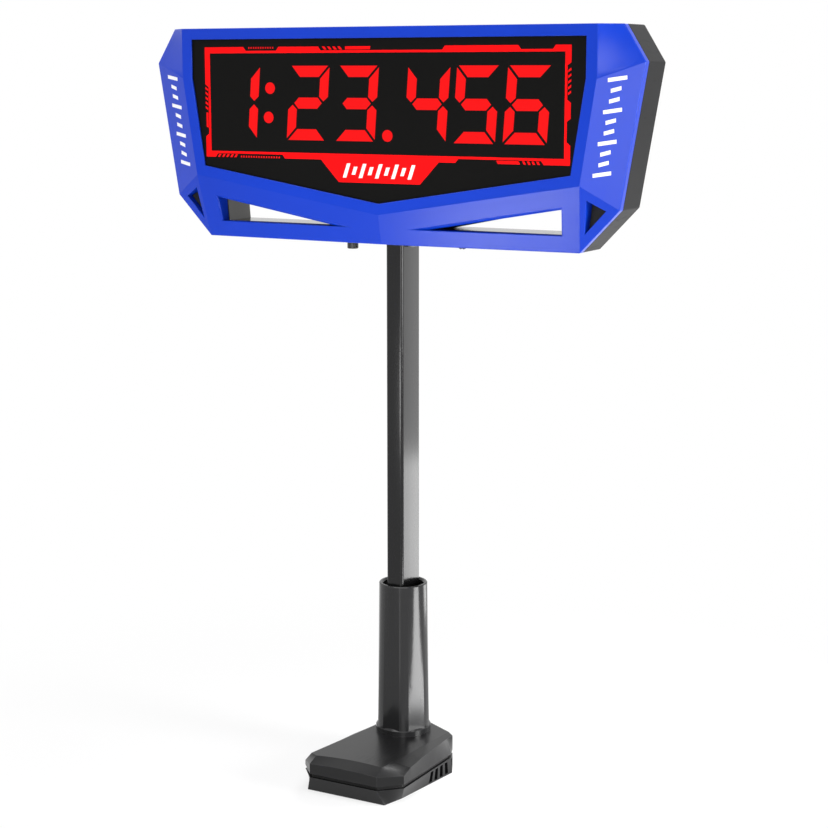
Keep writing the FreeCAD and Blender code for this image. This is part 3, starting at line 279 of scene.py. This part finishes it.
# Moulded grain: the spark-eroded texture of a mould, and a slow mottle of flow.
moulded_grain, told, given = new_group(
    "moulded_grain", {"Grain per metre": 2600.0, "Mottle per metre": 28.0}, ("Height", "Mottle"))
place = moulded_grain.nodes.new("ShaderNodeTexCoord").outputs["Object"]
moulded_grain.links.new(noise_at(moulded_grain, place, told.outputs["Grain per metre"]),
                        given.inputs["Height"])
moulded_grain.links.new(noise_at(moulded_grain, place, told.outputs["Mottle per metre"], 3.0),
                        given.inputs["Mottle"])

# Edge rubbing and sheen: 1 along sharp edges, broken up, where hands rub a surface bright, and
# where a painted highlight lies along the edges.
edge_wear_and_sheen, told, given = new_group("edge_wear_and_sheen", {"Patches per metre": 140.0}, ("Wear and sheen",))
softened = edge_wear_and_sheen.nodes.new("ShaderNodeBevel")
softened.samples = 4
softened.inputs["Radius"].default_value = 0.0006
geometry = edge_wear_and_sheen.nodes.new("ShaderNodeNewGeometry")
turn = edge_wear_and_sheen.nodes.new("ShaderNodeVectorMath")
turn.operation = "DOT_PRODUCT"
edge_wear_and_sheen.links.new(softened.outputs["Normal"], turn.inputs[0])
edge_wear_and_sheen.links.new(geometry.outputs["Normal"], turn.inputs[1])
place = edge_wear_and_sheen.nodes.new("ShaderNodeTexCoord").outputs["Object"]
patches = noise_at(edge_wear_and_sheen, place, told.outputs["Patches per metre"], 4.0)
at_edge = between(edge_wear_and_sheen, turn.outputs["Value"], 0.995, 0.93)
edge_wear_and_sheen.links.new(reckon(edge_wear_and_sheen, "MULTIPLY", at_edge,
                           between(edge_wear_and_sheen, patches, 0.35, 0.6)), given.inputs["Wear and sheen"])

# Scuffs: short fine rubs in loose clouds, which dull a surface here and there.
scuffs, told, given = new_group("scuffs", {"Rubs per metre": 900.0}, ("Scuff",))
place = scuffs.nodes.new("ShaderNodeTexCoord").outputs["Object"]
slant = scuffs.nodes.new("ShaderNodeMapping")
slant.inputs["Rotation"].default_value = (0.3, 0.5, 0.7)
slant.inputs["Scale"].default_value = (1.0, 0.12, 0.3)
scuffs.links.new(place, slant.inputs["Vector"])
rubs = noise_at(scuffs, slant.outputs["Vector"], told.outputs["Rubs per metre"], 3.0)
clouds = noise_at(scuffs, place, 22.0, 3.0)
scuffs.links.new(reckon(scuffs, "MULTIPLY", between(scuffs, rubs, 0.52, 0.7),
                        between(scuffs, clouds, 0.45, 0.65)), given.inputs["Scuff"])


def placed(tree, group, **values):
    """A group's node in a material, with its own values."""
    node = tree.nodes.new("ShaderNodeGroup")
    node.node_tree = group
    for label, value in values.items():
        node.inputs[label.replace("_", " ")].default_value = value
    return node


def blended(tree, share, first, second):
    """Two colours mixed by a share, each a socket or three numbers."""
    node = tree.nodes.new("ShaderNodeMix")
    node.data_type = "RGBA"
    tree.links.new(share, node.inputs["Factor"])
    for socket, value in zip((node.inputs[6], node.inputs[7]), (first, second)):
        if isinstance(value, tuple):
            socket.default_value = value + (1.0,)
        else:
            tree.links.new(value, socket)
    return node.outputs[2]


def shaded(colour, share):
    return tuple(channel * share for channel in colour)


def finish(name, colour, roughness, rubbed_and_sheen=None, wear_and_sheen=0.4, mottle=0.06, grain=2600.0,
           relief=0.25, scuffed=0.12, index=1.45, specular=0.5, metallic=0.0,
           grain_depth=0.00005):
    """A surface on one shader: mottled colour, edges coloured by rubbing and by a painted
    highlight, scuffs and fine grain.
    """
    material = bpy.data.materials.new(name)
    material.use_nodes = True
    tree = material.node_tree
    shader = tree.nodes["Principled BSDF"]
    shader.inputs["IOR"].default_value = index
    shader.inputs["Specular IOR Level"].default_value = specular
    shader.inputs["Metallic"].default_value = metallic
    surface = placed(tree, moulded_grain, Grain_per_metre=grain)
    mottled = blended(tree, surface.outputs["Mottle"], shaded(colour, 1.0 - mottle),
                      shaded(colour, 1.0 + mottle))
    # Along the edges the colour turns to the edge colour: real rubbing, and a painted highlight.
    worn_and_sheen = reckon(tree, "MULTIPLY", placed(tree, edge_wear_and_sheen).outputs["Wear and sheen"], wear_and_sheen)
    tree.links.new(blended(tree, worn_and_sheen, mottled, rubbed_and_sheen or shaded(colour, 1.6)),
                   shader.inputs["Base Color"])
    dulled = reckon(tree, "MULTIPLY", placed(tree, scuffs).outputs["Scuff"], scuffed)
    tree.links.new(reckon(tree, "ADD", dulled, spread(tree, surface.outputs["Mottle"],
                                                      roughness * 0.9, roughness * 1.1)),
                   shader.inputs["Roughness"])
    bump = tree.nodes.new("ShaderNodeBump")
    bump.inputs["Strength"].default_value = relief
    bump.inputs["Distance"].default_value = grain_depth
    tree.links.new(surface.outputs["Height"], bump.inputs["Height"])
    tree.links.new(bump.outputs["Normal"], shader.inputs["Normal"])
    return material


def dress(material, slot, *names):
    """A finish on CAD nodes as they are, or on the skin that stands for one."""
    for name in names:
        piece = bpy.data.objects.get(name + "_skin") or frame["nodes"][name]
        piece.data.materials.clear()
        piece.data.materials.append(material)


def in_the_slots(mesh, material, inner=0.015, outer=0.118, low=0.309, high=0.334,
                 back=0.0165, facing_front=0.4):
    """A second finish on the walls of the two slots below the window, with painted shade on the
    bezel's walls and painted light on the rear shell's.
    """
    mesh.materials.append(material)
    for face in mesh.polygons:
        x, y, z = face.center
        beside = inner < abs(x) < outer and low < z < high and y < back
        if beside and abs(face.normal.y) < facing_front:
            face.material_index = len(mesh.materials) - 1


skin("front_bezel", 0.0004, crease=3.0)
blue_plastic = finish("blue_plastic", (0.001, 0.034, 0.44), 0.32, rubbed_and_sheen=(0.05, 0.12, 0.7),
                      index=1.4, specular=0.34)
dress(blue_plastic, "blue_case", "front_bezel")
# The slot walls take a darker, duller copy of the blue: painted shade on walls that lie in shade.
shaded_slot_blue = finish("shaded_slot_blue", (0.001, 0.03, 0.38), 0.6, rubbed_and_sheen=(0.02, 0.08, 0.5), index=1.4,
                   specular=0.06)
in_the_slots(bpy.data.objects["front_bezel_skin"].data, shaded_slot_blue)


# The rear shell, the battery door and the battery tray: black ABS with a fine
# matt texture. The shell carries everything inside, and closes against the bezel.
skin("rear_shell", 0.0006)
skin("battery_door", 0.0003)
black_plastic = finish("black_plastic", (0.02, 0.02, 0.0205), 0.5, rubbed_and_sheen=(0.06, 0.06, 0.062),
                       grain=2000.0, relief=0.45, specular=0.08)
dress(black_plastic, "black_case", "rear_shell", "battery_door", "battery_tray")
# The rear shell's walls in the slots take a lighter, glossier copy of the black: painted light on
# walls seen through the slots.
lit_slot_black = finish("lit_slot_black", (0.04, 0.038, 0.033), 0.14, rubbed_and_sheen=(0.08, 0.08, 0.08),
                    grain=2000.0, relief=0.1, specular=0.7)
in_the_slots(bpy.data.objects["rear_shell_skin"].data, lit_slot_black)


# The display window: a sheet of smoked acrylic, laid into the bezel from behind.
# It is dark enough to hide the board, and almost free of gloss.
smoked_sheet = finish("smoked_sheet", (0.006, 0.0059, 0.0057), 0.34, rubbed_and_sheen=(0.02, 0.02, 0.02),
                      mottle=0.03, relief=0.06, scuffed=0.06, index=1.3, specular=0.06)
dress(smoked_sheet, "smoked_window", "display_window")


# The red frame and the plaque: screen-printed ink on the front of the window, laid
# down in one pass. The mesh of the screen leaves a very fine weave in it.
def printed(name, colour, roughness=0.5, specular=0.2):
    """Screen ink: an even colour with the weave of the screen in its relief."""
    material = finish(name, colour, roughness, rubbed_and_sheen=shaded(colour, 0.9), wear_and_sheen=0.2, mottle=0.02,
                      grain=3500.0, relief=0.1, scuffed=0.08, index=1.4, specular=specular)
    tree = material.node_tree
    weave = tree.nodes.new("ShaderNodeTexWave")
    weave.inputs["Scale"].default_value = 700.0
    weave.inputs["Distortion"].default_value = 0.4
    tree.links.new(tree.nodes.new("ShaderNodeTexCoord").outputs["Object"], weave.inputs["Vector"])
    bump = tree.nodes["Bump"]
    height = reckon(tree, "MULTIPLY_ADD", weave.outputs["Fac"], 0.5)
    tree.links.new(bump.inputs["Height"].links[0].from_socket, height.node.inputs[2])
    tree.links.new(height, bump.inputs["Height"])
    return material


red_ink = printed("red_ink", (0.92, 0.004, 0.0055), specular=0.08)
dress(red_ink, "red_ink", "border_print")


# The bars on the plaque and the marks on the wings: the same ink in white, as
# plain slanted strokes. They are printed last.
white_ink = printed("white_ink", (0.82, 0.82, 0.83))
dress(white_ink, "white_ink", "plaque_bars", "wing_marks")


# The lit segments: the red light of the digit modules on the face of the window.
# Each one glows evenly through its diffuser, which has a fine cell pattern.
lit_red = (0.98, 0.0045, 0.006)
lit_segments = finish("lit_segments", (0.03, 0.001, 0.001), 0.4, wear_and_sheen=0.0, relief=0.1,
                      specular=0.08)
tree = lit_segments.node_tree
cells = tree.nodes.new("ShaderNodeTexVoronoi")
cells.inputs["Scale"].default_value = 900.0
tree.links.new(tree.nodes.new("ShaderNodeTexCoord").outputs["Object"], cells.inputs["Vector"])
tree.links.new(blended(tree, between(tree, cells.outputs["Distance"], 0.1, 0.7),
                       shaded(lit_red, 1.03), shaded(lit_red, 0.96)),
               tree.nodes["Principled BSDF"].inputs["Emission Color"])
tree.nodes["Principled BSDF"].inputs["Emission Strength"].default_value = 1.0
dress(lit_segments, "lit_red", "lit_segments")


# The digit modules and the dot lamps: white reflector blocks in polycarbonate,
# soldered to the board, with the diffusers in their faces.
led_block = finish("led_block", (0.68, 0.68, 0.65), 0.45, rubbed_and_sheen=(0.8, 0.8, 0.78), grain=1800.0)
dress(led_block, "led_block", "digit_modules", "dot_lamps")


# The display board: glass-fibre board under green lacquer, etched with copper
# tracks and held to the bezel's posts with screws.
board = finish("lacquered_board", (0.012, 0.13, 0.05), 0.3, rubbed_and_sheen=(0.5, 0.45, 0.3), wear_and_sheen=0.6,
               relief=0.2, specular=0.5)
tree = board.node_tree
shader = tree.nodes["Principled BSDF"]
tracks = tree.nodes.new("ShaderNodeTexBrick")
tracks.inputs["Scale"].default_value = 90.0
tracks.inputs["Mortar Size"].default_value = 0.05
turned = tree.nodes.new("ShaderNodeMapping")
turned.inputs["Rotation"].default_value = (math.radians(90.0), 0.0, 0.0)
tree.links.new(tree.nodes.new("ShaderNodeTexCoord").outputs["Object"], turned.inputs["Vector"])
tree.links.new(turned.outputs["Vector"], tracks.inputs["Vector"])
bare = shader.inputs["Base Color"].links[0].from_socket
tree.links.new(blended(tree, tracks.outputs["Fac"], bare, (0.03, 0.22, 0.08)),
               shader.inputs["Base Color"])
dress(board, "board", "led_board")


# The parts on the board: the radio module in its tin can, the processor in black
# epoxy, and the sounder's round case. They are soldered to the board's back.
black_epoxy = finish("black_epoxy", (0.03, 0.03, 0.033), 0.55, rubbed_and_sheen=(0.1, 0.1, 0.1),
                     grain=3200.0, relief=0.4)
dress(black_epoxy, "board_part", "processor_chip", "sounder", "button_switch", "switch_body")
tin_can = finish("tinned_can", (0.5, 0.5, 0.49), 0.3, rubbed_and_sheen=(0.7, 0.7, 0.68), grain=1500.0,
                 relief=0.2, metallic=1.0)
dress(tin_can, "board_part", "radio_module")


# The leads: two stranded wires with a red cover of soft vinyl, from the battery
# contacts to the board. The cover shows the lay of the strands under it.
wire_cover = finish("wire_cover", (0.5, 0.03, 0.03), 0.42, rubbed_and_sheen=(0.6, 0.08, 0.08), grain=900.0,
                    relief=0.5, scuffed=0.2)
dress(wire_cover, "wire_cover", "leads")


# The cells: three of them, each a steel can in a plain shrink sleeve with a bright
# band at its cap. They are held in the tray by springs and plates.
cell_can = finish("shrink_sleeve", (0.05, 0.06, 0.1), 0.28, rubbed_and_sheen=(0.4, 0.4, 0.4), grain=700.0,
                  relief=0.15, metallic=0.4)
tree = cell_can.node_tree
shader = tree.nodes["Principled BSDF"]
along = tree.nodes.new("ShaderNodeSeparateXYZ")
tree.links.new(tree.nodes.new("ShaderNodeTexCoord").outputs["Object"], along.inputs["Vector"])
cap_starts, cap_full = 0.0655, 0.0665
cap = between(tree, along.outputs["X"], cap_starts, cap_full)
sleeve_colour = shader.inputs["Base Color"].links[0].from_socket
tree.links.new(blended(tree, cap, sleeve_colour, (0.45, 0.25, 0.05)), shader.inputs["Base Color"])
dress(cell_can, "cell_can", "battery_cells")


# The screws, the contacts, the clamp plate and the mast bracket: plated steel,
# turned or pressed. The plating is bright on the edges and clouded between them.
plated_steel = finish("plated_steel", (0.2, 0.2, 0.205), 0.42, rubbed_and_sheen=(0.4, 0.4, 0.4), mottle=0.1,
                      grain=1600.0, relief=0.25, scuffed=0.2, metallic=1.0)
dress(plated_steel, "steel", "battery_contacts", "board_screws", "case_screws", "bracket_screws",
      "base_screws", "sleeve_screws", "mast_bracket", "clamp_plate")


# The mode button and the power switch's knob: small black acetal keys under the
# head, which slide in their openings. The mast's foot and bush are acetal as well.
skin("mode_button", 0.0003)
skin("switch_knob", 0.0002)
acetal = finish("black_key", (0.012, 0.012, 0.013), 0.36, rubbed_and_sheen=(0.06, 0.06, 0.062),
                wear_and_sheen=0.6, grain=3200.0)
dress(acetal, "black_key", "mode_button", "switch_knob", "mast_foot", "guide_bush")


# The mast: a rectangular aluminium tube, drawn, brushed along its length and
# anodised black. It runs in the sleeve and carries the head.
drawn_lines, told, given = new_group(
    "drawn_lines", {"Lines per metre": 2400.0, "Run": (1.0, 1.0, 0.02)}, ("Height", "Shade"))
place = drawn_lines.nodes.new("ShaderNodeTexCoord").outputs["Object"]
stretched = drawn_lines.nodes.new("ShaderNodeVectorMath")
stretched.operation = "MULTIPLY"
drawn_lines.links.new(place, stretched.inputs[0])
drawn_lines.links.new(told.outputs["Run"], stretched.inputs[1])
lines = noise_at(drawn_lines, stretched.outputs["Vector"], told.outputs["Lines per metre"], 3.0)
drawn_lines.links.new(lines, given.inputs["Height"])
bands = noise_at(drawn_lines, stretched.outputs["Vector"], 500.0, 3.0)
drawn_lines.links.new(bands, given.inputs["Shade"])


def drawn(material, low, high, **values):
    """Fine lines along a metal part, in its relief and its roughness."""
    tree = material.node_tree
    shader = tree.nodes["Principled BSDF"]
    lines = placed(tree, drawn_lines, **values)
    tree.links.new(lines.outputs["Height"], tree.nodes["Bump"].inputs["Height"])
    tree.links.new(spread(tree, lines.outputs["Shade"], low, high), shader.inputs["Roughness"])
    return material


skin("mast_tube", 0.0003)
anodised = drawn(finish("black_anodised", (0.004, 0.004, 0.0043), 0.2, rubbed_and_sheen=(0.1, 0.1, 0.1),
                        wear_and_sheen=0.1, relief=0.06, index=1.5, specular=0.3), 0.15, 0.24)
dress(anodised, "black_mast", "mast_tube")


# The sleeve and the shells of the base: black ABS with a satin face. The sleeve is
# screwed to the upper shell, and the shells close on a rubber band.
satin_plastic = finish("satin_plastic", (0.005, 0.005, 0.0053), 0.3,
                       rubbed_and_sheen=(0.05, 0.05, 0.052), grain=3000.0, relief=0.2, specular=0.32)
dress(satin_plastic, "black_base", "upper_shell", "lower_shell")
gloss_plastic = finish("gloss_plastic", (0.01, 0.01, 0.0105), 0.17,
                       rubbed_and_sheen=(0.05, 0.05, 0.052), grain=3000.0, relief=0.1, scuffed=0.08,
                       specular=0.38)
dress(gloss_plastic, "black_base", "sleeve")


# The seam band and the foot pad: black silicone rubber, dull and slightly
# powdery. The band is clamped between the shells and the pad is glued on.
rubber = finish("black_rubber", (0.008, 0.008, 0.008), 0.8, rubbed_and_sheen=(0.02, 0.02, 0.02), wear_and_sheen=0.2,
                mottle=0.15, grain=1500.0, relief=0.5, specular=0.3)
dress(rubber, "rubber", "seam_band", "rubber_pad")


# The ballast: a steel plate, sawn and left with its mill scale, that keeps the
# timer upright. It lies on the floor of the lower shell, round the screw posts.
mill_steel = drawn(finish("mill_steel", (0.09, 0.088, 0.085), 0.45, rubbed_and_sheen=(0.4, 0.4, 0.4),
                          mottle=0.25, grain=600.0, relief=0.3, metallic=0.9),
                   0.38, 0.6, Run=(0.03, 1.0, 1.0), Lines_per_metre=1500.0)
dress(mill_steel, "weight_steel", "ballast_plate")
